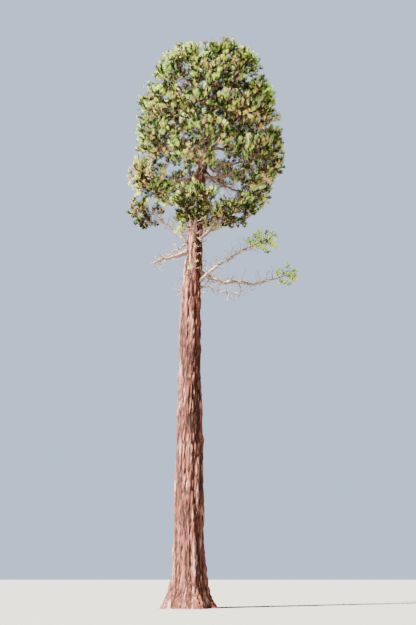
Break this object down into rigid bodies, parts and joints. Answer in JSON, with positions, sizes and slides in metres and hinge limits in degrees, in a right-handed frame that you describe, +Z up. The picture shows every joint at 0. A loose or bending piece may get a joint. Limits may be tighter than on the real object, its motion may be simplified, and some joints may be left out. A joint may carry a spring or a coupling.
{
  "type": "giant sequoia tree",
  "caption": "Tall giant sequoia: a straight tapering trunk with a flared, fluted foot, a rounded crown of brush-like foliage masses on upturned boughs, long low boughs and dead limbs.",
  "frame": {"origin": "middle of the flat cut under the trunk, at ground level, which is the mount ground", "axes": "+Z up along the lower trunk; +X to the right and -Y towards the side seen first; the upper trunk leans to +X"},
  "size_m": [11.2087, 10.1903, 37.9547],
  "materials": {
    "bark": "thick, soft, deeply furrowed cinnamon-red bark, matte",
    "bough_bark": "thin scaly brown bark, matte",
    "dead_wood": "bare weathered grey-brown wood",
    "foliage": "cord-like sprays of scale leaves, yellow-green to blue-green with russet old sprays"
  },
  "bodies": {
    "root": {"trunk": "bark", "bough_09": "bough_bark", "bough_10": "bough_bark", "bough_11": "bough_bark", "bough_12": "bough_bark", "bough_13": "bough_bark", "bough_14": "bough_bark", "bough_15": "bough_bark", "bough_16": "bough_bark", "bough_17": "bough_bark", "bough_18": "bough_bark", "bough_19": "bough_bark", "bough_20": "bough_bark", "bough_21": "bough_bark", "bough_22": "bough_bark", "bough_23": "bough_bark", "bough_24": "bough_bark", "bough_25": "bough_bark", "bough_front_left": "bough_bark", "bough_front_right": "bough_bark", "bough_low_left": "bough_bark", "bough_low_long": "bough_bark", "bough_low_rising": "bough_bark", "dead_limb_back_stub": "dead_wood", "dead_limb_left_stub": "dead_wood", "dead_limb_left_thin": "dead_wood", "dead_limb_right_thin": "dead_wood", "foliage_01": "foliage", "foliage_02": "foliage", "foliage_03": "foliage", "foliage_04": "foliage", "foliage_05": "foliage", "foliage_06": "foliage", "foliage_07": "foliage", "foliage_08": "foliage", "foliage_09": "foliage", "foliage_10": "foliage", "foliage_11": "foliage", "foliage_12": "foliage", "foliage_13": "foliage", "foliage_14": "foliage", "foliage_15": "foliage", "foliage_16": "foliage", "foliage_17": "foliage", "foliage_18": "foliage", "foliage_19": "foliage", "foliage_20": "foliage", "foliage_21": "foliage", "foliage_22": "foliage", "foliage_23": "foliage", "foliage_24": "foliage", "foliage_25": "foliage", "foliage_front_left": "foliage", "foliage_front_right": "foliage", "foliage_low_left": "foliage", "foliage_low_long": "foliage", "foliage_low_rising": "foliage", "foliage_top": "foliage", "foliage_trunk_tuft_high": "foliage", "foliage_trunk_tuft_low": "foliage"}
  },
  "joints": []
}
